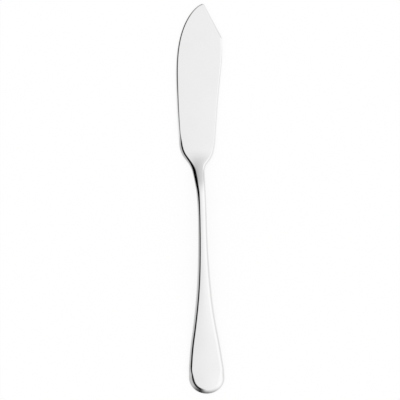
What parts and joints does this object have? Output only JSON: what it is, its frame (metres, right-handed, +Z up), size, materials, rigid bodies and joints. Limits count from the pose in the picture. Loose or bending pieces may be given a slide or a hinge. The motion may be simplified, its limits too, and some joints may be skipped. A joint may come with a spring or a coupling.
{
  "type": "fish knife",
  "caption": "One-piece polished steel fish knife with a broad flat blade, blunt curved edge, offset tip, arched stem and drop-shaped handle with a bevelled border.",
  "frame": {"origin": "middle of the knife's box seen from above, on the surface that it lies on", "axes": "+Y from the butt to the tip, +X to the spine side, +Z up out of the face"},
  "size_m": [0.0248, 0.205, 0.0072],
  "materials": {
    "polished_steel": "mirror polished"
  },
  "bodies": {
    "root": {"knife": "polished_steel"}
  },
  "joints": []
}
